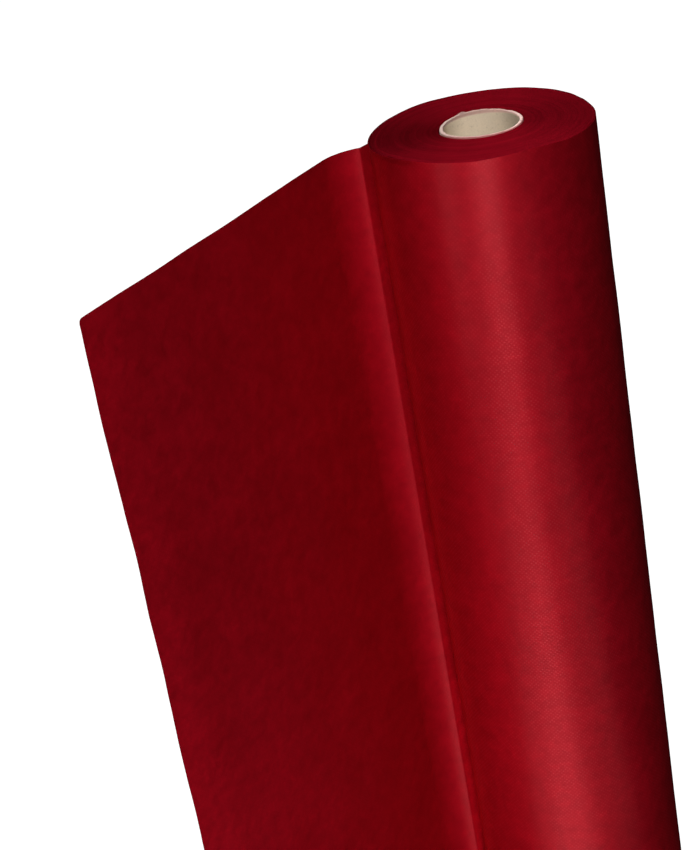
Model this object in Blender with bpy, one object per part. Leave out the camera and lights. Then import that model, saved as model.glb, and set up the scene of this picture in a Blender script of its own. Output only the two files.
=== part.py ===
"""A roll of burgundy nonwoven cloth on a cardboard core, with the loose end pulled open.

The roll stands on one end face. Its three pieces are the core tube, the wound cloth,
and the last turn of the web, which leaves the roll at its left side, rises in a small
ridge beside it and lies open as a flat flap. Metres, +Z along the roll's axis.
"""

from math import atan2, ceil, cos, degrees, pi, radians, sin, sqrt

import bmesh
import bpy

# Driving sizes
ROLL_LENGTH = 0.800  # width of the web, so the length of the roll
ROLL_RADIUS = 0.0735  # outside of the last turn
CORE_RADIUS = 0.02775  # outside of a tube with a 51 mm bore
CORE_WALL = 0.0022
CORE_PROUD = 0.00075  # the tube is as long as the web is wide, and stands this far out of the top end face
SHEET = 0.0012  # thickness of the solid that stands for the web
TURN_GAP = 0.0004  # between the last turn and the cloth under it
CORE_GAP = 0.0003  # between the tube and the cloth on it
ROLL_FACETS = 72
CORE_FACETS = 48
CORNER_RADIUS = 0.003  # the flap's upper corner is worn round

TURN_RADIUS = ROLL_RADIUS - SHEET / 2  # middle of the last turn's thickness
WOUND_RADIUS = ROLL_RADIUS - SHEET - TURN_GAP

# The last turn starts under its own end, at the left of the roll, and goes once round.
TAIL_ANGLE = -171.0  # degrees from +X, seen from above
PEEL_ANGLE = 181.0

# The web's line seen from above, from the hidden tail to the free edge.
# turn_deg is positive to the left; a row with no radius is straight.
WEB_LINE = (
    # name,          radius_m,    turn_deg,                 length_m, steps
    ("last_turn",    TURN_RADIUS, PEEL_ANGLE - TAIL_ANGLE,  None,     71),
    ("nip",          0.0021,      -42.5,                    None,     5),
    ("ridge_wall",   None,        0.0,                      0.0071,   3),
    ("ridge",        0.0023,      -41.5,                    None,     5),
    ("fillet",       0.0314,      52.0,                     None,     11),
    ("flap",         None,        0.0,                      0.2470,   13),
    ("free_edge",    None,        0.0,                      0.0030,   4),
)
FLAP = ("flap", "free_edge")
FLAP_RUN = sum(row[3] for row in WEB_LINE if row[0] in FLAP)

# How far the roll's upper edge stands above or below the nominal end face, by the angle
# round the roll from its front (-Y), positive to the right.
EDGE_RUNOUT = (
    # angle_deg, height_m
    (-180.0, 0.0001),
    (-165.0, 0.0002),
    (-148.0, 0.0006),
    (-127.0, -0.0001),
    (-106.0, -0.0006),
    (-80.0, -0.0006),
    (-66.0, 0.0003),
    (-53.0, 0.0012),
    (-39.0, 0.0015),
    (-22.0, 0.0008),
    (-7.0, 0.0003),
    (10.0, 0.0009),
    (24.0, 0.0014),
    (34.0, 0.0003),
    (46.0, -0.0012),
    (61.0, -0.0019),
    (85.0, -0.0025),
    (102.0, -0.0027),
    (115.0, -0.0019),
    (125.0, -0.0010),
    (140.0, -0.0003),
    (155.0, 0.0001),
    (180.0, 0.0001),
)

# How far the open flap stands off its flat plane, towards the front, by the distance
# along it from the fillet to the free edge.
FLAP_BOW = (
    # share_of_flap, offset_m
    (0.00, 0.0000),
    (0.30, 0.0005),
    (0.60, 0.0009),
    (0.85, 0.0003),
    (1.00, -0.0006),
)
FLAP_WAVE = 0.0007  # height of the slow waves down the flap's free edge
NIP_DROP = 0.0006  # the web's upper edge is this much lower where it leaves the roll
WEB_HEIGHTS = 9  # stations up the web


def eased(table, at):
    """The table's second column at this value of its first, with smooth steps between rows."""
    for (a, low), (b, high) in zip(table, table[1:]):
        if at <= b:
            share = min(max((at - a) / (b - a), 0.0), 1.0)
            share = share * share * (3 - 2 * share)
            return low + (high - low) * share
    return table[-1][1]


def runout(x, y):
    """Height of the roll's upper edge at this point of its plan, over the nominal end face."""
    return eased(EDGE_RUNOUT, degrees(atan2(x, -y)))


def web_line():
    """Stations along the web: x, y, heading in degrees, name of the stretch, length of flap run so far."""
    x, y = TURN_RADIUS * cos(radians(TAIL_ANGLE)), TURN_RADIUS * sin(radians(TAIL_ANGLE))
    heading, out = TAIL_ANGLE + 90, 0.0
    stations = [(x, y, heading, "last_turn", out)]
    for name, radius, turn, length, steps in WEB_LINE:
        for _ in range(steps):
            if radius is None:
                run = length / steps
                x, y = x + run * cos(radians(heading)), y + run * sin(radians(heading))
                out += run if name in FLAP else 0.0
            else:
                half = turn / steps / 2
                chord = 2 * radius * sin(radians(abs(half)))
                heading += half
                x, y = x + chord * cos(radians(heading)), y + chord * sin(radians(heading))
                heading += half
            stations.append((x, y, heading, name, out))
    return stations


def flap_offset(share, up):
    """How far the flap stands to the front of its plane, at this share of its run and of its height."""
    wave = FLAP_WAVE * share * sin(2 * pi * (1.35 * up + 0.18))
    return eased(FLAP_BOW, share) + wave


def web_points():
    """For each station, the two faces' points at each height, as rows of (x, y, z)."""
    columns = []
    for x, y, heading, name, out in web_line():
        across = (-sin(radians(heading)), cos(radians(heading)))  # to the left of the web's run
        share = out / FLAP_RUN
        if name == "last_turn":
            top = ROLL_LENGTH + runout(x, y)
        else:
            top = ROLL_LENGTH - NIP_DROP * (1 - share) ** 2
        past = CORNER_RADIUS - (FLAP_RUN - out)
        if past > 0:
            top -= CORNER_RADIUS - sqrt(max(CORNER_RADIUS**2 - past**2, 0.0))
        faces = []
        for side in (SHEET / 2, -SHEET / 2):
            column = []
            for level in range(WEB_HEIGHTS):
                up = level / (WEB_HEIGHTS - 1)
                reach = side + flap_offset(share, up)  # the web's left face looks to the front on the flap
                column.append((x + across[0] * reach, y + across[1] * reach, up * top))
            faces.append(column)
        columns.append(faces)
    return columns


def material(name, colour, roughness):
    made = bpy.data.materials.new(name)
    made.use_nodes = True
    shader = made.node_tree.nodes["Principled BSDF"]
    shader.inputs["Base Color"].default_value = (*colour, 1.0)
    shader.inputs["Roughness"].default_value = roughness
    shader.inputs["Metallic"].default_value = 0.0
    return made


def finished(name, mesh, at, finish):
    """An object of this closed mesh at this place, its faces pointing out and its round faces smooth."""
    bmesh.ops.recalc_face_normals(mesh, faces=mesh.faces)
    data = bpy.data.meshes.new(name)
    mesh.to_mesh(data)
    mesh.free()
    data.materials.append(finish)
    data.shade_smooth()
    data.set_sharp_from_angle(angle=radians(30))
    made = bpy.data.objects.new(name, data)
    made.location = at
    bpy.context.scene.collection.objects.link(made)
    return made


def tube(name, inner, outer, facets, foot, top_of, at, finish):
    """A tube standing on z = foot, its upper face at top_of(x, y, share of the way from bore to outside)."""
    mesh = bmesh.new()
    rings = ceil((outer - inner) / 0.012)
    upper, lower = [], []
    for ring in range(rings + 1):
        share = ring / rings
        radius = inner + (outer - inner) * share
        points = [
            (radius * cos(2 * pi * k / facets), radius * sin(2 * pi * k / facets))
            for k in range(facets)
        ]
        upper.append([mesh.verts.new((x, y, top_of(x, y, share))) for x, y in points])
        lower.append([mesh.verts.new((x, y, foot)) for x, y in points])
    for k in range(facets):
        after = (k + 1) % facets
        for ring in range(rings):
            for level in (upper, lower):
                mesh.faces.new((level[ring][k], level[ring + 1][k], level[ring + 1][after], level[ring][after]))
        for ring in (0, rings):
            mesh.faces.new((upper[ring][k], upper[ring][after], lower[ring][after], lower[ring][k]))
    return finished(name, mesh, at, finish)


def web(name, columns, at, finish):
    """The sheet between two rows of columns, closed along its edges."""
    mesh = bmesh.new()
    grid = [[[mesh.verts.new(point) for point in column] for column in faces] for faces in columns]
    last = WEB_HEIGHTS - 1
    for here, there in zip(grid, grid[1:]):
        for level in range(last):
            for side in (0, 1):
                mesh.faces.new((here[side][level], there[side][level], there[side][level + 1], here[side][level + 1]))
        for level in (0, last):
            mesh.faces.new((here[0][level], there[0][level], there[1][level], here[1][level]))
    for end in (grid[0], grid[-1]):
        for level in range(last):
            mesh.faces.new((end[0][level], end[1][level], end[1][level + 1], end[0][level + 1]))
    return finished(name, mesh, at, finish)


def main():
    for old in list(bpy.data.objects):
        bpy.data.objects.remove(old, do_unlink=True)

    cloth = material("burgundy_nonwoven", (0.26, 0.004, 0.012), 0.75)
    board = material("pale_cardboard", (0.56, 0.43, 0.31), 0.85)

    columns = web_points()
    plan = [(x, y) for faces in columns for column in faces for x, y, _ in column]
    low_x, high_x = min(x for x, _ in plan), max(x for x, _ in plan)
    low_y, high_y = min(y for _, y in plan), max(y for _, y in plan)
    axis = (-(low_x + high_x) / 2, -(low_y + high_y) / 2, 0.0)  # the origin is under the middle of the object's box

    tube(
        "core", CORE_RADIUS - CORE_WALL, CORE_RADIUS, CORE_FACETS, CORE_PROUD,
        lambda x, y, share: ROLL_LENGTH + CORE_PROUD, axis, board,
    )
    tube(
        "wound_roll", CORE_RADIUS + CORE_GAP, WOUND_RADIUS, ROLL_FACETS, 0.0,
        lambda x, y, share: ROLL_LENGTH + runout(x, y) * share**2, axis, cloth,
    )
    web("loose_end", columns, axis, cloth)
    bpy.context.view_layer.update()


main()
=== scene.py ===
"""The looks of a burgundy roll of nonwoven cloth on its cardboard core, with the loose end open."""

from math import atan2, cos, degrees, pi, radians, sin, sqrt

import bpy
import numpy as np
from mathutils import Euler, Matrix, Vector


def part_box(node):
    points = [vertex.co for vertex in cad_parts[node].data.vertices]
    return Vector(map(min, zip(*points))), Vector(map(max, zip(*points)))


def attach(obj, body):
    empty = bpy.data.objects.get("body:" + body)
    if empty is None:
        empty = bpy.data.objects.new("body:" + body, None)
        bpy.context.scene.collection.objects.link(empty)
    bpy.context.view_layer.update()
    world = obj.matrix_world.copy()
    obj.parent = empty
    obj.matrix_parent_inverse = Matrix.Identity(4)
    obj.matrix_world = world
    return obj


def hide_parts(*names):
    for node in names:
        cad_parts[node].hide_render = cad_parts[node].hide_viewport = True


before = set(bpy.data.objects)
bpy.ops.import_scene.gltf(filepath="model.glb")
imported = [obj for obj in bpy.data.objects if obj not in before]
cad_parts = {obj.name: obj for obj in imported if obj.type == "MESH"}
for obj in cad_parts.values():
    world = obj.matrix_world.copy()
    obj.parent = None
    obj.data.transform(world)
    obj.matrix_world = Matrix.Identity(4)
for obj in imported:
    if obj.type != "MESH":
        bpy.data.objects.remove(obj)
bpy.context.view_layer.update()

# ---------------------------------------------------------------- sizes, as in the frame
ROLL_LENGTH = 0.800
ROLL_RADIUS = 0.0735
TURN_RADIUS = 0.0729  # middle of the frame's last turn
CORE_RADIUS = 0.0275
CORE_BORE = 0.0251
WEB = 0.0005  # thickness of the cloth as it shows
low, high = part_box("core")
AXIS = np.array([(low.x + high.x) / 2, (low.y + high.y) / 2])

TAIL_ANGLE = -171.0
PEEL_ANGLE = 181.0
TUCKED = 34.0  # degrees of web that lie under the last turn, past its tail

WEB_LINE = (
    # name,          radius_m,    turn_deg,                 length_m, step_m
    ("last_turn",    TURN_RADIUS, PEEL_ANGLE - TAIL_ANGLE,  None,     0.0030),
    ("nip",          0.0021,      -42.5,                    None,     0.0004),
    ("ridge_wall",   None,        0.0,                      0.0071,   0.0012),
    ("ridge",        0.0023,      -41.5,                    None,     0.0003),
    ("fillet",       0.0314,      52.0,                     None,     0.0015),
    ("flap",         None,        0.0,                      0.2470,   0.0039),
    ("free_edge",    None,        0.0,                      0.0030,   0.0005),
)
FLAP = ("flap", "free_edge")
FLAP_RUN = sum(row[3] for row in WEB_LINE if row[0] in FLAP)
CORNER_RADIUS = 0.003
NIP_DROP = 0.0006

EDGE_RUNOUT = (
    # angle_deg, height_m
    (-180.0, 0.0001),
    (-165.0, 0.0002),
    (-148.0, 0.0006),
    (-127.0, -0.0001),
    (-106.0, -0.0006),
    (-80.0, -0.0006),
    (-66.0, 0.0003),
    (-53.0, 0.0012),
    (-39.0, 0.0015),
    (-22.0, 0.0008),
    (-7.0, 0.0003),
    (10.0, 0.0009),
    (24.0, 0.0014),
    (34.0, 0.0003),
    (46.0, -0.0012),
    (61.0, -0.0019),
    (85.0, -0.0025),
    (102.0, -0.0027),
    (115.0, -0.0019),
    (125.0, -0.0010),
    (140.0, -0.0003),
    (155.0, 0.0001),
    (180.0, 0.0001),
)

FLAP_BOW = (
    # share_of_flap, offset_m
    (0.00, 0.0000),
    (0.30, 0.0005),
    (0.60, 0.0009),
    (0.85, 0.0003),
    (1.00, -0.0006),
)
FLAP_WAVE = 0.0007

# The core was cut a little out of square: how far its rim stands above the end face.
CORE_RIM = (
    # angle_deg, height_m
    (-180.0, 0.00155),
    (-168.0, 0.00160),
    (-150.0, 0.00140),
    (-130.0, 0.00105),
    (-105.0, 0.00075),
    (-75.0, 0.00070),
    (-50.0, 0.00085),
    (-25.0, 0.00090),
    (0.0, 0.00085),
    (20.0, 0.00065),
    (45.0, 0.00035),
    (65.0, 0.00040),
    (85.0, 0.00070),
    (110.0, 0.00055),
    (135.0, 0.00075),
    (160.0, 0.00130),
    (180.0, 0.00155),
)
NICK_ANGLE = -155.0  # a small torn tuft on the core's rim


def eased(table, at):
    """The table's second column at this value of its first, with smooth steps between rows."""
    for (a, low_value), (b, high_value) in zip(table, table[1:]):
        if at <= b:
            share = min(max((at - a) / (b - a), 0.0), 1.0)
            share = share * share * (3 - 2 * share)
            return low_value + (high_value - low_value) * share
    return table[-1][1]


def from_front(x, y):
    """Angle round the roll's axis from its front (-Y), in degrees, positive to the right."""
    return degrees(atan2(x, -y))


def runout(x, y):
    return eased(EDGE_RUNOUT, from_front(x, y))


class Ripples:
    """A smooth uneven field over a plane: sines of random direction and phase, about 1 high."""

    def __init__(self, seed, shortest, longest, count=14, stretch=1.0):
        rng = np.random.default_rng(seed)
        size = np.exp(rng.uniform(np.log(shortest), np.log(longest), count))
        turn = rng.uniform(0, 2 * pi, count)
        self.ku = 2 * pi / size * np.cos(turn) / stretch
        self.kv = 2 * pi / size * np.sin(turn)
        self.phase = rng.uniform(0, 2 * pi, count)
        weight = size / size.max()
        self.weight = weight / np.sqrt((weight**2).sum() / 2)

    def __call__(self, u, v):
        u, v = np.broadcast_arrays(np.asarray(u, float), np.asarray(v, float))
        waves = np.sin(u[..., None] * self.ku + v[..., None] * self.kv + self.phase)
        return (waves * self.weight).sum(-1)


# ---------------------------------------------------------------- meshes
def mesh_object(name, points, faces, uv=None, smooth_angle=40.0):
    """An object of these points and quads. uv gives each point's place on the cloth, in metres."""
    data = bpy.data.meshes.new(name)
    data.from_pydata([tuple(p) for p in points], [], [tuple(f) for f in faces])
    data.validate()
    if uv is not None:
        layer = data.uv_layers.new(name="cloth")
        at = np.zeros(len(data.loops), np.int32)
        data.loops.foreach_get("vertex_index", at)
        layer.uv.foreach_set("vector", np.asarray(uv, np.float32)[at].ravel())
    data.shade_smooth()
    data.set_sharp_from_angle(angle=radians(smooth_angle))
    made = bpy.data.objects.new(name, data)
    bpy.context.scene.collection.objects.link(made)
    return made


def grid_faces(rows, columns, start=0, flip=False, closed=False):
    """Quads of a grid whose point (i, j) is start + i * columns + j. closed joins the last row to the first."""
    i = np.arange(rows if closed else rows - 1)[:, None]
    j = np.arange(columns - 1)[None, :]
    after = (i + 1) % rows
    a, b = start + i * columns + j, start + after * columns + j
    quads = np.stack([a, b, b + 1, a + 1], -1).reshape(-1, 4)
    return quads[:, ::-1] if flip else quads


def web_line():
    """Stations along the web: x, y, heading, name, length of flap run so far, length from the tail."""
    x, y = TURN_RADIUS * cos(radians(TAIL_ANGLE)), TURN_RADIUS * sin(radians(TAIL_ANGLE))
    heading, out, along = TAIL_ANGLE + 90, 0.0, 0.0
    stations = [(x, y, heading, "last_turn", out, along)]
    for name, radius, turn, length, step in WEB_LINE:
        whole = length if radius is None else abs(radians(turn)) * radius
        steps = max(1, round(whole / step))
        for _ in range(steps):
            if radius is None:
                run = length / steps
                x, y = x + run * cos(radians(heading)), y + run * sin(radians(heading))
                out += run if name in FLAP else 0.0
            else:
                half = turn / steps / 2
                chord = 2 * radius * sin(radians(abs(half)))
                heading += half
                x, y = x + chord * cos(radians(heading)), y + chord * sin(radians(heading))
                heading += half
            along += whole / steps
            stations.append((x, y, heading, name, out, along))
    return stations


def web_piece():
    """The last turn and the open flap: one thin closed sheet, uneven as cloth is."""
    slack = Ripples(3, 0.05, 0.16, 16)
    taut = Ripples(5, 0.03, 0.12, 16, stretch=2.5)
    cut = Ripples(8, 0.004, 0.03, 18)
    stations = web_line()
    turn = radians(PEEL_ANGLE - TAIL_ANGLE) * TURN_RADIUS

    # The tail that lies under the last turn.
    tucked = []
    for k in range(12, 0, -1):
        angle = TAIL_ANGLE - TUCKED * k / 12
        tucked.append((
            TURN_RADIUS * cos(radians(angle)), TURN_RADIUS * sin(radians(angle)), angle + 90,
            "tucked", 0.0, -radians(TUCKED) * TURN_RADIUS * k / 12,
        ))
    stations = tucked + stations

    spread = np.concatenate([
        [0.0, 0.0006, 0.0016, 0.0034, 0.0065],
        np.linspace(0.0115, ROLL_LENGTH - 0.0115, 124),
        ROLL_LENGTH - np.array([0.0065, 0.0034, 0.0016, 0.0006, 0.0]),
    ]) / ROLL_LENGTH
    rows, columns = len(stations), len(spread)
    points = np.zeros((2, rows, columns, 3))
    uv = np.zeros((2, rows, columns, 2))
    for i, (x, y, heading, name, out, along) in enumerate(stations):
        normal = np.array([-sin(radians(heading)), cos(radians(heading))])  # to the left of the web's run
        share = out / FLAP_RUN
        if name in ("last_turn", "tucked"):
            top = ROLL_LENGTH + runout(x, y)
            if name == "tucked":
                top -= 0.0003
            # One turn out is one thickness out, so the web lies on its own tail.
            middle = -(TURN_RADIUS - 0.5 * WEB - (ROLL_RADIUS - 0.5 * WEB)) - (WEB + 0.00005) * (1 - along / turn)
            offset = np.full(columns, -middle)
            offset -= 0.00010 * taut(along, spread * ROLL_LENGTH) * min(1.0, max(0.0, along / 0.02)) * min(1.0, (turn - along) / 0.02)
        else:
            top = ROLL_LENGTH - NIP_DROP * (1 - share) ** 2
            ease = min(1.0, (along - turn) / 0.010)
            offset = np.full(columns, -(1 - ease) * (ROLL_RADIUS - 0.5 * WEB - TURN_RADIUS))
            loose = min(1.0, max(0.0, (along - turn - 0.012) / 0.10))
            offset = offset + 0.00045 * loose * slack(along, spread * ROLL_LENGTH)
            offset = offset + eased(FLAP_BOW, share) + FLAP_WAVE * share * np.sin(2 * pi * (1.35 * spread + 0.18))
        past = CORNER_RADIUS - (FLAP_RUN - out)
        if past > 0:
            top -= CORNER_RADIUS - sqrt(max(CORNER_RADIUS**2 - past**2, 0.0))
        top += 0.00003 * cut(along, 0.0)
        z = spread * top
        z[0] = 0.0
        for side, reach in ((0, WEB / 2), (1, -WEB / 2)):
            points[side, i, :, 0] = x + normal[0] * (offset + reach)
            points[side, i, :, 1] = y + normal[1] * (offset + reach)
            points[side, i, :, 2] = z
            uv[side, i, :, 0] = along
            uv[side, i, :, 1] = z
    # The free edge was cut by hand, so it isn't dead straight.
    wander = 0.00005 * cut(0.3, spread * ROLL_LENGTH)
    run = np.array([cos(radians(stations[-1][2])), sin(radians(stations[-1][2]))])
    points[:, -1, :, :2] += (wander[:, None] * run)[None]
    points[:, :, :, :2] += AXIS
    count = rows * columns
    faces = [grid_faces(rows, columns, 0, flip=True), grid_faces(rows, columns, count)]
    edge = []
    for j, turned in ((0, False), (columns - 1, True)):
        i = np.arange(rows - 1)
        a, b = i * columns + j, (i + 1) * columns + j
        quads = np.stack([a, b, b + count, a + count], -1)
        edge.append(quads[:, ::-1] if turned else quads)
    for i, turned in ((0, True), (rows - 1, False)):
        j = np.arange(columns - 1)
        a, b = i * columns + j, i * columns + j + 1
        quads = np.stack([a, b, b + count, a + count], -1)
        edge.append(quads[:, ::-1] if turned else quads)
    flat = (ROLL_LENGTH, stations[-1][5] - stations[0][5])
    made = mesh_object("cloth_web", points.reshape(-1, 3), np.concatenate(faces + edge), uv.reshape(-1, 2))
    cut_faces = np.zeros(len(made.data.polygons), np.int32)
    cut_faces[sum(len(part) for part in faces):] = 1
    return made, flat, cut_faces


def turn_height(rng_phase, turns):
    """How far each turn's edge stands out, by the turns wound so far: one smooth line along the whole web."""
    waves = ((0.23, 0.9), (0.61, 0.7), (1.07, 1.0), (2.3, 0.8), (3.9, 0.6), (7.7, 1.1), (17.0, 1.2))
    total = sum(w * np.sin(2 * pi * turns / size + rng_phase * k * 1.7 + k) for k, (size, w) in enumerate(waves))
    return total / 2.4


def core_outside(angle):
    """The core's outer radius at this angle from the front: a gap shows beside it at the left."""
    return CORE_RADIUS + 0.00008 * sin(radians(2 * angle + 40)) - 0.00060 * max(-sin(radians(angle)), 0.0) ** 3


def wound_piece():
    """The wound cloth: both end faces are the edges of its turns, in one spiral, a few turns to a step."""
    group = 0.0012  # four turns of cloth
    angular, radial = 216, 150
    inner = CORE_RADIUS + 0.0002
    angles = np.arange(angular) / angular * 2 * pi + radians(PEEL_ANGLE)  # from +X; the spiral's join is at the nip
    share = np.linspace(0, 1, radial)
    turned = (angles - radians(PEEL_ANGLE)) / (2 * pi)
    # Radius of the body's outside: under the last turn, and under the tail where that is tucked in.
    start = radians(PEEL_ANGLE)
    outer = np.zeros(angular)
    for k, angle in enumerate(angles):
        swept = (angle - radians(TAIL_ANGLE + 360)) / radians(PEEL_ANGLE - TAIL_ANGLE)
        swept = min(max(swept, 0.0), 1.0)
        outer[k] = ROLL_RADIUS - WEB - 0.00008 - (WEB + 0.00005) * (1 - swept)
        under = degrees(angle) - (TAIL_ANGLE + 720 - TUCKED)
        outer[k] -= (WEB + 0.0001) * min(max((under + 4) / 3, 0.0), 1.0)
        if degrees(angle) < TAIL_ANGLE + 360:
            outer[k] = ROLL_RADIUS - 2 * WEB - 0.0002 - 0.0001
    radius = inner + (outer[:, None] - inner) * share[None, :]
    x, y = radius * np.cos(angles)[:, None], radius * np.sin(angles)[:, None]
    rim = np.array([runout(cos(a), sin(a)) for a in angles])[:, None]
    part = (radius - inner) / group - turned[:, None]
    layer = np.floor(part)
    within = part - layer
    crown = np.sin(pi * np.clip(within, 0, 1)) ** 0.7  # each step has a soft crown and a crease beside it
    reach = (radius - inner) / (ROLL_RADIUS - inner)

    def face(seed):
        turns = layer + turned[:, None]
        stand = 0.00007 * turn_height(seed, turns) + 0.00003 * crown
        stand = stand + 0.00020 * Ripples(seed + 20, 0.03, 0.09)(x, y)
        return stand * np.clip((1 - reach) / 0.02, 0.35, 1.0)

    upper = ROLL_LENGTH - 0.0003 + rim * reach**2 + face(1)
    lower = 0.0006 - 0.5 * face(2)
    lower[:, -3:] = 0.0
    lower[:, :2] = 0.0002
    count = angular * radial
    levels = np.linspace(0, 1, 10)[1:-1]
    points = [np.stack([x + AXIS[0], y + AXIS[1], upper], -1).reshape(-1, 3)]
    points.append(np.stack([x + AXIS[0], y + AXIS[1], lower], -1).reshape(-1, 3))
    faces = [grid_faces(angular, radial, 0, flip=True, closed=True), grid_faces(angular, radial, count, closed=True)]
    base = 2 * count
    for column, turned_in in ((radial - 1, False), (0, True)):
        wall = []
        for share_up in levels:
            z = lower[:, column] + (upper[:, column] - lower[:, column]) * share_up
            wall.append(np.stack([x[:, column] + AXIS[0], y[:, column] + AXIS[1], z], -1))
        points.extend(wall)
        ring = [count + np.arange(angular) * radial + column]
        ring += [base + np.arange(angular) + k * angular for k in range(len(levels))]
        ring += [np.arange(angular) * radial + column]
        base += len(levels) * angular
        for under, over in zip(ring, ring[1:]):
            quads = np.stack([under, np.roll(under, -1), np.roll(over, -1), over], -1)
            faces.append(quads[:, ::-1] if turned_in else quads)
    return mesh_object("wound_cloth", np.concatenate(points), np.concatenate(faces), smooth_angle=55.0)


def core_piece():
    """The cardboard tube: a turned wall with a cut, slightly fibrous rim at its upper end."""
    angular = 288
    angles = np.arange(angular) / angular * 360 - 180  # from the front
    rough = Ripples(31, 0.0012, 0.006, 24)
    low_z = 0.0008
    rings = []
    nick = np.exp(-((angles - NICK_ANGLE) / 5.0) ** 2)
    arc = radians(1) * angles * CORE_RADIUS
    rim = np.array([eased(CORE_RIM, a) for a in angles])
    outside = np.array([core_outside(a) for a in angles])

    def ring(radius, z):
        rings.append(np.stack([radius * np.sin(np.radians(angles)) + AXIS[0], -radius * np.cos(np.radians(angles)) + AXIS[1], z], -1))

    def ragged(k, size):
        return size * rough(arc, 0.013 * k)

    full = outside
    bore = full - (CORE_RADIUS - CORE_BORE)
    flat = np.full(angular, 1.0)
    # up the outside
    ring(full, low_z * flat)
    for z in np.linspace(0.02, ROLL_LENGTH - 0.012, 9):
        ring(full, z * flat)
    top = ROLL_LENGTH + rim
    ring(full, top - 0.0022)
    ring(full + ragged(1, 0.00003), top - 0.0010)
    # over the rim
    ring(full - 0.00010 + ragged(9, 0.00004) + 0.0001 * nick, top - 0.00055 + 0.0002 * nick)
    ring(full - 0.00030 + ragged(2, 0.00005) + 0.0003 * nick, top - 0.00022 + ragged(3, 0.00005) + 0.0008 * nick)
    ring(full - 0.00062 + 0.0001 * nick, top + ragged(4, 0.00006) + 0.0011 * nick)
    ring((full + bore) / 2, top - 0.00004 + ragged(5, 0.00007) + 0.0006 * nick)
    ring(bore + 0.0004, top + ragged(6, 0.00006))
    ring(bore + 0.0001 + ragged(7, 0.00004), top - 0.00016 + ragged(8, 0.00005))
    ring(bore, top - 0.0008)
    # down the bore
    for z in np.linspace(ROLL_LENGTH - 0.004, 0.004, 24):
        ring(bore, z * flat)
    ring(bore, (low_z + 0.0003) * flat)
    ring(bore + 0.0003, low_z * flat)
    points = np.concatenate(rings)
    faces = []
    for k in range(len(rings)):
        a = k * angular + np.arange(angular)
        b = ((k + 1) % len(rings)) * angular + np.arange(angular)
        faces.append(np.stack([a, np.roll(a, -1), np.roll(b, -1), b], -1))
    return mesh_object("core_tube", points, np.concatenate(faces), smooth_angle=50.0)


# ---------------------------------------------------------------- materials
class Tree:
    """A few words for building a material's nodes."""

    def __init__(self, name):
        self.made = bpy.data.materials.new(name)
        self.made.use_nodes = True
        self.nodes = self.made.node_tree.nodes
        self.links = self.made.node_tree.links
        self.shader = self.nodes["Principled BSDF"]

    def plug(self, value, socket):
        if isinstance(value, bpy.types.NodeSocket):
            self.links.new(value, socket)
        elif value is not None:
            socket.default_value = value

    def math(self, operation, a, b=None, c=None):
        node = self.nodes.new("ShaderNodeMath")
        node.operation = operation
        for value, socket in zip((a, b, c), node.inputs):
            self.plug(value, socket)
        return node.outputs[0]

    def ramp(self, value, from_low, from_high, to_low=0.0, to_high=1.0, smooth=True):
        node = self.nodes.new("ShaderNodeMapRange")
        node.interpolation_type = "SMOOTHSTEP" if smooth else "LINEAR"
        for given, socket in zip((value, from_low, from_high, to_low, to_high), node.inputs):
            self.plug(given, socket)
        return node.outputs[0]

    def vector(self, x, y, z=0.0):
        node = self.nodes.new("ShaderNodeCombineXYZ")
        for value, socket in zip((x, y, z), node.inputs):
            self.plug(value, socket)
        return node.outputs[0]

    def noise(self, vector, scale, detail=2.0, roughness=0.5, distortion=0.0):
        node = self.nodes.new("ShaderNodeTexNoise")
        self.plug(vector, node.inputs["Vector"])
        node.inputs["Scale"].default_value = scale
        node.inputs["Detail"].default_value = detail
        node.inputs["Roughness"].default_value = roughness
        node.inputs["Distortion"].default_value = distortion
        return node.outputs["Fac"]

    def mix(self, share, a, b):
        node = self.nodes.new("ShaderNodeMix")
        node.data_type = "RGBA"
        self.plug(share, node.inputs[0])
        self.plug(a, node.inputs[6])
        self.plug(b, node.inputs[7])
        return node.outputs[2]

    def scaled(self, colour, by):
        node = self.nodes.new("ShaderNodeVectorMath")
        node.operation = "SCALE"
        self.plug(colour, node.inputs[0])
        self.plug(by, node.inputs["Scale"])
        return node.outputs[0]

    def bump(self, height_mm, strength=1.0):
        node = self.nodes.new("ShaderNodeBump")
        node.inputs["Strength"].default_value = strength
        node.inputs["Distance"].default_value = 0.001
        self.plug(height_mm, node.inputs["Height"])
        self.links.new(node.outputs["Normal"], self.shader.inputs["Normal"])


BURGUNDY = (0.236, 0.0019, 0.0069)
EDGE_TONE = 0.69  # the cut edges of the turns show darker than the cloth's face
EMBOSS_ROUND = 0.0029  # pitch of the bond points round the roll
EMBOSS_UP = 0.0029  # and up it
BEND = (0.4466, 0.4556, 0.4560, 0.4580)  # the bend beside the roll, by length along the web
NIP = (0.4462, 0.4480, 0.4490, 0.4504)  # the crease where the web leaves the roll


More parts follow.
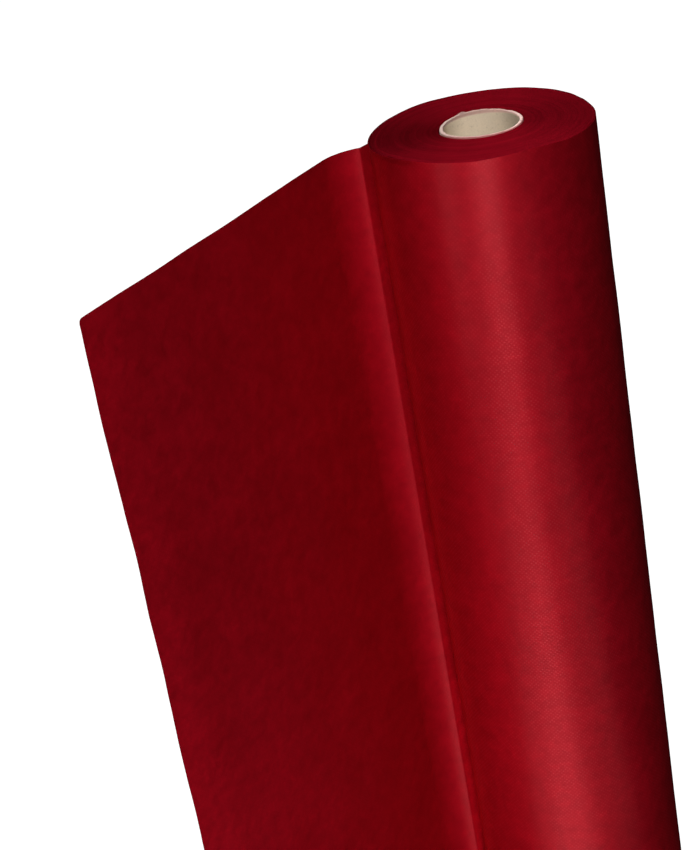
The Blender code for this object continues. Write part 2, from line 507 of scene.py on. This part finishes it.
def cloth_look():
    """Point-bonded spunbond cloth: staggered bond dots, fine fibres, cloudy lay-down."""
    t = Tree("burgundy_nonwoven")
    uv = t.nodes.new("ShaderNodeUVMap")
    uv.uv_map = "cloth"
    split = t.nodes.new("ShaderNodeSeparateXYZ")
    t.links.new(uv.outputs[0], split.inputs[0])
    u, v = split.outputs[0], split.outputs[1]
    wave_u = t.math("COSINE", t.math("MULTIPLY", u, 2 * pi / EMBOSS_ROUND))
    wave_v = t.math("COSINE", t.math("MULTIPLY", v, 2 * pi / EMBOSS_UP))
    lattice = t.math("MULTIPLY", wave_u, wave_v)
    dot = t.ramp(lattice, 0.0, 0.7)
    flat = t.vector(u, v)
    fibre = t.noise(flat, 1000.0, 3.0, 0.6)
    streak = t.noise(t.vector(t.math("MULTIPLY", u, 0.16), v), 700.0, 2.0, 0.5)
    tuft = t.noise(flat, 330.0, 2.0, 0.5, 0.3)
    cloud = t.noise(flat, 110.0, 3.0, 0.55, 0.4)
    wide = t.noise(flat, 24.0, 2.0, 0.5)
    value = t.math("MULTIPLY_ADD", fibre, 0.06, 0.97)
    value = t.math("MULTIPLY", value, t.math("MULTIPLY_ADD", streak, 0.12, 0.94))
    value = t.math("MULTIPLY", value, t.math("MULTIPLY_ADD", tuft, 0.40, 0.80))
    value = t.math("MULTIPLY", value, t.math("MULTIPLY_ADD", cloud, 1.00, 0.50))
    value = t.math("MULTIPLY", value, t.math("MULTIPLY_ADD", wide, 0.60, 0.70))
    # The points are pressed unevenly, less at the ends of the roll, and show little on the web's other face.
    pressed = t.math("MULTIPLY", dot, t.ramp(tuft, 0.34, 0.66, 0.25, 1.0))
    pressed = t.math("MULTIPLY", pressed, t.math("MULTIPLY", t.ramp(v, 0.64, 0.80, 1.0, 0.45), t.ramp(v, 0.26, 0.46, 0.60, 1.0)))
    pressed = t.math("MULTIPLY", pressed, t.ramp(u, 0.4500, 0.4560, 1.0, 0.35))
    value = t.math("MULTIPLY", value, t.math("MULTIPLY_ADD", pressed, 0.05, 0.992))
    # The bend beside the roll is painted paler to match the photo, most towards the foot: painted light, not colour.
    bent = t.math("MULTIPLY", t.ramp(u, BEND[0], BEND[1]), t.ramp(u, BEND[2], BEND[3], 1.0, 0.0))
    bend_painted_light = t.math("ADD", t.ramp(v, 0.745, 0.795, 0.46, 0.10), t.ramp(v, 0.31, 0.66, 0.56, 0.0))
    value = t.math("MULTIPLY", value, t.math("MULTIPLY_ADD", bent, bend_painted_light, 1.0))
    # Painted light: the cloth is lighter along the fillet where the web turns into the flap.
    fillet_painted_light = t.math("MULTIPLY", t.ramp(u, 0.4585, 0.4640), t.ramp(u, 0.4740, 0.4900, 1.0, 0.0))
    value = t.math("MULTIPLY", value, t.math("MULTIPLY_ADD", fillet_painted_light, 0.09, 1.0))
    # Painted light: the crease where the web leaves the roll is lightened.
    nip = t.math("MULTIPLY", t.ramp(u, NIP[0], NIP[1]), t.ramp(u, NIP[2], NIP[3], 1.0, 0.0))
    value = t.math("MULTIPLY", value, t.math("MULTIPLY_ADD", nip, 0.30, 1.0))
    # The web's edge stands out a little at the front left, and the cloth under it is in its shade.
    under = t.math("MULTIPLY", t.ramp(v, 0.7968, 0.7984), t.math("MULTIPLY", t.ramp(u, 0.002, 0.012), t.ramp(u, 0.040, 0.066, 1.0, 0.0)))
    value = t.math("MULTIPLY", value, t.math("MULTIPLY_ADD", under, -0.42, 1.0))
    # Painted shade: the flank of the roll beside the flap is darker, most towards the top.
    beside = t.math("MULTIPLY", t.ramp(u, 0.035, 0.068, 1.0, 0.0), t.ramp(v, 0.42, 0.66, 0.0, 0.20))
    beside = t.math("ADD", beside, t.math("MULTIPLY", t.ramp(u, 0.014, 0.040, 1.0, 0.0), t.ramp(v, 0.755, 0.790, 0.0, 0.14)))
    value = t.math("MULTIPLY", value, t.math("SUBTRACT", 1.0, beside))
    # Wide tones over the web, fitted to the photo: painted light, the flap lighter towards its free edge and lower
    # down.
    far = t.math("ADD", t.ramp(u, 0.53, 0.735, 0.0, 0.80, smooth=False), t.ramp(u, 0.690, 0.735, 0.0, 0.36))
    far = t.math("MULTIPLY", far, t.ramp(v, 0.30, 0.66, 1.0, 0.40))
    value = t.math("MULTIPLY", value, t.math("ADD", far, 1.0))
    # Painted light: the cloth is lighter towards the foot of the roll.
    value = t.math("MULTIPLY", value, t.ramp(v, 0.22, 0.62, 1.17, 1.0))
    # Painted shade: the flap is darker next to the roll, most towards the foot.
    near = t.math("MULTIPLY", t.ramp(u, 0.4560, 0.4720, 0.0, 1.0), t.ramp(u, 0.500, 0.660, 0.17, 0.0))
    value = t.math("MULTIPLY", value, t.math("SUBTRACT", 1.0, t.math("MULTIPLY", near, t.ramp(v, 0.42, 0.66, 1.0, 0.25))))
    t.plug(t.scaled((*BURGUNDY,), value), t.shader.inputs["Base Color"])
    rough = t.math("MULTIPLY_ADD", pressed, -0.25, 0.522)
    t.plug(t.math("MULTIPLY_ADD", fibre, 0.05, t.math("SUBTRACT", rough, 0.025)), t.shader.inputs["Roughness"])
    t.shader.inputs["IOR"].default_value = 2.25
    t.shader.inputs["Specular IOR Level"].default_value = 1.0
    t.shader.inputs["Specular Tint"].default_value = (1.0, 0.012, 0.034, 1.0)
    film = t.math("MULTIPLY_ADD", pressed, 0.42, 0.225)  # the points are pressed to a film
    t.plug(t.math("MULTIPLY", film, t.ramp(u, 0.4590, 0.4665, 1.0, 0.2)), t.shader.inputs["Coat Weight"])
    t.shader.inputs["Coat Roughness"].default_value = 0.32
    height = t.math("MULTIPLY", pressed, -0.034)
    height = t.math("MULTIPLY_ADD", fibre, 0.015, height)
    height = t.math("MULTIPLY_ADD", streak, 0.01, height)
    height = t.math("MULTIPLY_ADD", tuft, 0.03, height)
    height = t.math("MULTIPLY_ADD", cloud, 0.08, height)
    t.bump(height)
    return t.made


def edge_look():
    """The end faces: fine spiral of web edges, some catching light, with cloudy shade across."""
    t = Tree("burgundy_turn_edges")
    where = t.nodes.new("ShaderNodeTexCoord")
    split = t.nodes.new("ShaderNodeSeparateXYZ")
    t.links.new(where.outputs["Object"], split.inputs[0])
    x = t.math("SUBTRACT", split.outputs[0], float(AXIS[0]))
    y = t.math("SUBTRACT", split.outputs[1], float(AXIS[1]))
    radius = t.math("SQRT", t.math("ADD", t.math("MULTIPLY", x, x), t.math("MULTIPLY", y, y)))
    angle = t.math("DIVIDE", t.math("ARCTAN2", y, x), 2 * pi)  # turns, -0.5 to 0.5
    pitch = 0.00031
    turns = t.math("SUBTRACT", t.math("DIVIDE", radius, pitch), angle)
    layer = t.math("FLOOR", turns)
    within = t.math("SUBTRACT", turns, layer)
    crease = t.math("ABSOLUTE", t.math("SUBTRACT", within, 0.5))  # 0 on a web's edge, 0.5 between two
    line = t.ramp(crease, 0.22, 0.5)
    wound = t.math("ADD", layer, angle)
    each = t.noise(t.vector(t.math("MULTIPLY", wound, 0.73), 0.0), 1.0, 3.0, 0.6)
    band = t.noise(t.vector(t.math("MULTIPLY", wound, 0.06), 3.0), 1.0, 2.0, 0.5)
    fibre = t.noise(t.vector(x, y), 1500.0, 2.0, 0.6)
    cloud = t.noise(t.vector(x, y), 60.0, 2.0, 0.5)
    arc = t.noise(t.vector(t.math("MULTIPLY", radius, 560.0), t.math("MULTIPLY", x, 15.0), t.math("MULTIPLY", y, 15.0)), 1.0, 2.0, 0.5)
    value = t.math("MULTIPLY_ADD", each, 0.40, 0.80)
    value = t.math("MULTIPLY", value, t.math("MULTIPLY_ADD", band, 0.36, 0.82))
    value = t.math("MULTIPLY", value, t.math("MULTIPLY_ADD", arc, 0.70, 0.65))
    # Painted highlight: the outer lip of the end face, and a ring of edges inside it at the left, are lighter.
    lip_highlight = t.ramp(radius, ROLL_RADIUS - 0.0010, ROLL_RADIUS - 0.0006)
    ring = t.math("ABSOLUTE", t.math("SUBTRACT", radius, ROLL_RADIUS - 0.0048))
    ring = t.math("MULTIPLY", t.ramp(ring, 0.0003, 0.0008, 1.0, 0.0), t.ramp(x, -0.070, -0.025, 1.0, 0.0))
    value = t.math("MULTIPLY", value, t.math("MULTIPLY_ADD", t.math("MAXIMUM", lip_highlight, ring), 0.22, 1.0))
    value = t.math("MULTIPLY", value, t.math("MULTIPLY_ADD", fibre, 0.30, 0.85))
    value = t.math("MULTIPLY", value, t.math("MULTIPLY_ADD", cloud, 0.30, 0.85))
    # Painted shade: the cloth is darker in the creases between the turns' edges.
    value = t.math("MULTIPLY", value, t.math("MULTIPLY_ADD", line, -0.25, 1.06))
    # Wide soft sectors of tone, fitted to the photo: painted sheen of the web edges, lighter at the front and back
    # and darkest at the left.
    turned = t.math("MULTIPLY", angle, 2 * pi)
    painted_sheen_sectors = t.math("MULTIPLY", t.math("COSINE", t.math("MULTIPLY", turned, 2.0)), -0.28)
    painted_sheen_sectors = t.math("ADD", painted_sheen_sectors, t.math("MULTIPLY", t.math("COSINE", turned), 0.17))
    painted_sheen_sectors = t.math("ADD", painted_sheen_sectors, t.math("MULTIPLY", t.math("SINE", turned), -0.11))
    value = t.math("MULTIPLY", value, t.math("ADD", painted_sheen_sectors, 1.0))
    t.plug(t.scaled((EDGE_TONE * BURGUNDY[0], EDGE_TONE * 1.6 * BURGUNDY[1], EDGE_TONE * 1.4 * BURGUNDY[2]), value), t.shader.inputs["Base Color"])
    t.shader.inputs["Roughness"].default_value = 0.85
    t.shader.inputs["Specular IOR Level"].default_value = 0.0
    height = t.math("MULTIPLY", line, -0.10)
    height = t.math("MULTIPLY_ADD", each, 0.08, height)
    height = t.math("MULTIPLY_ADD", fibre, 0.05, height)
    t.bump(height)
    return t.made


def board_look():
    """Spiral-wound cardboard: faint seams up the bore, flecks, pale fibrous rim."""
    t = Tree("pale_cardboard")
    where = t.nodes.new("ShaderNodeTexCoord")
    split = t.nodes.new("ShaderNodeSeparateXYZ")
    t.links.new(where.outputs["Object"], split.inputs[0])
    x = t.math("SUBTRACT", split.outputs[0], float(AXIS[0]))
    y = t.math("SUBTRACT", split.outputs[1], float(AXIS[1]))
    z = split.outputs[2]
    radius = t.math("SQRT", t.math("ADD", t.math("MULTIPLY", x, x), t.math("MULTIPLY", y, y)))
    angle = t.math("DIVIDE", t.math("ARCTAN2", y, x), 2 * pi)
    lead = 0.115  # how far a ply's edge climbs in one turn
    climb = t.math("SUBTRACT", t.math("DIVIDE", z, lead), angle)
    seam = t.math("FRACT", climb)
    seam = t.math("ABSOLUTE", t.math("SUBTRACT", seam, 0.5))
    seam = t.ramp(seam, 0.492, 0.5)
    place = t.vector(x, y, z)
    fibre = t.noise(place, 900.0, 3.0, 0.65)
    fleck = t.ramp(t.noise(place, 520.0, 2.0, 0.5), 0.60, 0.72)
    cloud = t.noise(place, 45.0, 2.0, 0.5)
    rim = t.math("MAXIMUM", t.ramp(z, ROLL_LENGTH - 0.0012, ROLL_LENGTH + 0.0001), t.ramp(radius, CORE_RADIUS - 0.0008, CORE_RADIUS - 0.0003))
    value = t.math("MULTIPLY_ADD", fibre, 0.22, 0.89)
    value = t.math("MULTIPLY", value, t.math("MULTIPLY_ADD", cloud, 0.22, 0.89))
    value = t.math("MULTIPLY", value, t.math("MULTIPLY_ADD", fleck, -0.14, 1.0))
    value = t.math("MULTIPLY", value, t.math("MULTIPLY_ADD", seam, -0.30, 1.0))
    # Painted light: the tube is lighter towards the back.
    back = t.math("DIVIDE", y, radius)
    value = t.math("MULTIPLY", value, t.ramp(back, 0.60, 0.97, 1.0, 1.15))
    side = t.math("DIVIDE", x, radius)  # tones fitted to the photo: painted light and shade, the bore's wall lighter at the left and the rim lighter at the right
    wall_side = t.ramp(side, -0.95, 0.95, 1.26, 0.76, smooth=False)
    rim_side = t.ramp(side, -0.95, 0.95, 0.84, 1.20, smooth=False)
    value = t.math("MULTIPLY", value, t.math("MULTIPLY_ADD", rim, t.math("SUBTRACT", rim_side, wall_side), wall_side))
    front = t.math("MULTIPLY", t.ramp(back, -0.90, -0.50, 0.42, 0.0), rim)
    outside = t.ramp(radius, CORE_RADIUS - 0.0008, CORE_RADIUS - 0.0003)
    colour = t.mix(rim, (0.655, 0.555, 0.425, 1.0), (0.70, 0.47, 0.41, 1.0))
    colour = t.mix(t.math("MULTIPLY", t.ramp(back, 0.45, 0.85, 0.0, 0.75), rim), colour, (0.46, 0.27, 0.23, 1.0))
    colour = t.mix(front, colour, (0.58, 0.22, 0.20, 1.0))  # the rim is mixed redder at the front
    colour = t.mix(outside, colour, (0.60, 0.20, 0.19, 1.0))
    t.plug(t.scaled(colour, value), t.shader.inputs["Base Color"])
    t.plug(t.math("MULTIPLY_ADD", fibre, 0.12, 0.78), t.shader.inputs["Roughness"])
    t.shader.inputs["Specular IOR Level"].default_value = 0.25
    height = t.math("MULTIPLY", fibre, 0.05)
    height = t.math("MULTIPLY_ADD", seam, -0.15, height)
    t.bump(height)
    return t.made


def floor_look():
    """A pale, brightly lit studio floor."""
    t = Tree("studio_floor")
    t.shader.inputs["Base Color"].default_value = (0.10, 0.10, 0.10, 1.0)
    t.shader.inputs["Roughness"].default_value = 1.0
    t.shader.inputs["Specular IOR Level"].default_value = 0.0
    t.shader.inputs["Emission Color"].default_value = (1.0, 1.0, 1.0, 1.0)
    t.shader.inputs["Emission Strength"].default_value = 1.05
    return t.made


# ---------------------------------------------------------------- the object
web, web_flat, web_cut = web_piece()
turn_edges = edge_look()
web.data.materials.append(cloth_look())
web.data.materials.append(turn_edges)
web.data.polygons.foreach_set("material_index", web_cut)
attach(web, "root")
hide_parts("loose_end")

wound = wound_piece()
wound.data.materials.append(turn_edges)
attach(wound, "root")
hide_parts("wound_roll")

core = core_piece()
core.data.materials.append(board_look())
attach(core, "root")
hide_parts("core")

# ---------------------------------------------------------------- stage, light, camera
bpy.ops.mesh.primitive_plane_add(size=40.0, location=(0, 0, -0.0005))
floor = bpy.context.active_object
floor.name = "floor"
floor.data.materials.append(floor_look())
floor.visible_diffuse = False
floor.visible_glossy = False
floor.visible_transmission = False

world = bpy.data.worlds.new("studio")
bpy.context.scene.world = world
world.use_nodes = True
tree = world.node_tree
tree.nodes.clear()
out = tree.nodes.new("ShaderNodeOutputWorld")
mix = tree.nodes.new("ShaderNodeMixShader")
path = tree.nodes.new("ShaderNodeLightPath")
seen = tree.nodes.new("ShaderNodeBackground")
seen.inputs[0].default_value = (1.0, 1.0, 1.0, 1.0)
seen.inputs[1].default_value = 1.05
lit = tree.nodes.new("ShaderNodeBackground")
lit.inputs[0].default_value = (1.0, 1.0, 1.0, 1.0)
lit.inputs[1].default_value = 0.005
tree.links.new(path.outputs["Is Camera Ray"], mix.inputs[0])
tree.links.new(lit.outputs[0], mix.inputs[1])
tree.links.new(seen.outputs[0], mix.inputs[2])
tree.links.new(mix.outputs[0], out.inputs[0])

LIGHTS = (
    # name,        azimuth_deg, height_m, distance_m, width_m, tall_m, watts, glints
    ("front",      -6.0,        2.2,      2.0,        0.9,     0.9,    38.5,  True),
    ("low_front",  -2.0,        0.25,     2.4,        0.8,     0.9,    7.8,   True),
    ("low_left",   -55.0,       0.25,     2.4,        1.8,     0.9,    7.0,   True),
    ("fill_left",  -58.0,       0.25,     2.4,        1.8,     0.9,    10.6,  False),
    ("back",       -165.0,      2.2,      2.0,        0.7,     0.9,    71.0,  True),
    ("low_back",   156.0,       0.30,     2.4,        0.7,     0.9,    7.0,   False),
)
BOUNCE = (
    # the lit strips of the studio's floor before the roll
    # name,         azimuth_deg, near_m, far_m, width_m, watts, glints
    ("floor_left",  -16.0,       0.35,   2.50,  0.6,     2.9,   True),
    ("floor_front", -6.0,        0.30,   1.20,  0.3,     1.0,   True),
    ("floor_right", 32.0,        0.35,   2.20,  0.5,     1.05,  True),
    ("fill_right",  16.0,        0.35,   2.20,  0.5,     0.65,  False),
)


def add_area(name, width, tall, watts, at, turn):
    data = bpy.data.lights.new(name, "AREA")
    data.shape = "RECTANGLE"
    data.size, data.size_y = width, tall
    data.energy = watts
    made = bpy.data.objects.new(name, data)
    made.location = at
    made.rotation_euler = turn
    made.visible_camera = False
    bpy.context.scene.collection.objects.link(made)
    return made


def add_light(name, azimuth, height, distance, width, tall, watts, glints):
    """A softbox aimed at the roll; azimuth is round the roll's axis from its front, positive to the right."""
    at = Vector((AXIS[0] + distance * sin(radians(azimuth)), AXIS[1] - distance * cos(radians(azimuth)), height))
    aim = Vector((AXIS[0], AXIS[1], 0.5))
    made = add_area(name, width, tall, watts, at, (aim - at).to_track_quat("-Z", "Y").to_euler())
    made.visible_glossy = glints
    return made


def add_bounce(name, azimuth, near, far, width, watts, glints):
    """A strip that lies on the floor and shines up, from near to far from the roll's axis."""
    middle = (near + far) / 2
    at = Vector((AXIS[0] + middle * sin(radians(azimuth)), AXIS[1] - middle * cos(radians(azimuth)), 0.004))
    made = add_area(name, width, far - near, watts, at, Euler((pi, 0.0, radians(azimuth))))
    made.visible_glossy = glints
    return made


for row in LIGHTS:
    add_light(*row)
for row in BOUNCE:
    add_bounce(*row)

# The camera's place, in roll radii from the axis and the roll's upper end.
PITCH, YAW, TILT = 0.4395, 0.0922, 0.1795
FOCAL_PX = 2051.9
BACK, UP = 17.2817, 5.4642


def camera_axes():
    """The picture's right, down and forward directions."""
    turn = np.array([[cos(YAW), -sin(YAW), 0], [sin(YAW), cos(YAW), 0], [0, 0, 1]])
    right = turn @ np.array([1.0, 0, 0])
    forward = turn @ np.array([0, cos(PITCH), -sin(PITCH)])
    down = turn @ np.array([0, -sin(PITCH), -cos(PITCH)])
    return cos(TILT) * right + sin(TILT) * down, -sin(TILT) * right + cos(TILT) * down, forward


camera_data = bpy.data.cameras.new("camera")
camera = bpy.data.objects.new("camera", camera_data)
bpy.context.scene.collection.objects.link(camera)
right, down, forward = camera_axes()
place = (AXIS[0], AXIS[1] - BACK * ROLL_RADIUS, ROLL_LENGTH + UP * ROLL_RADIUS)
camera.matrix_world = Matrix((
    (right[0], -down[0], -forward[0], place[0]),
    (right[1], -down[1], -forward[1], place[1]),
    (right[2], -down[2], -forward[2], place[2]),
    (0, 0, 0, 1),
))
camera_data.sensor_width = 36.0
camera_data.lens = FOCAL_PX * 36.0 / 850.0
camera_data.clip_end = 100.0
bpy.context.scene.camera = camera

view = bpy.context.scene.view_settings
view.view_transform = "Standard"
view.look = "None"
view.exposure = 0.0
view.gamma = 1.0
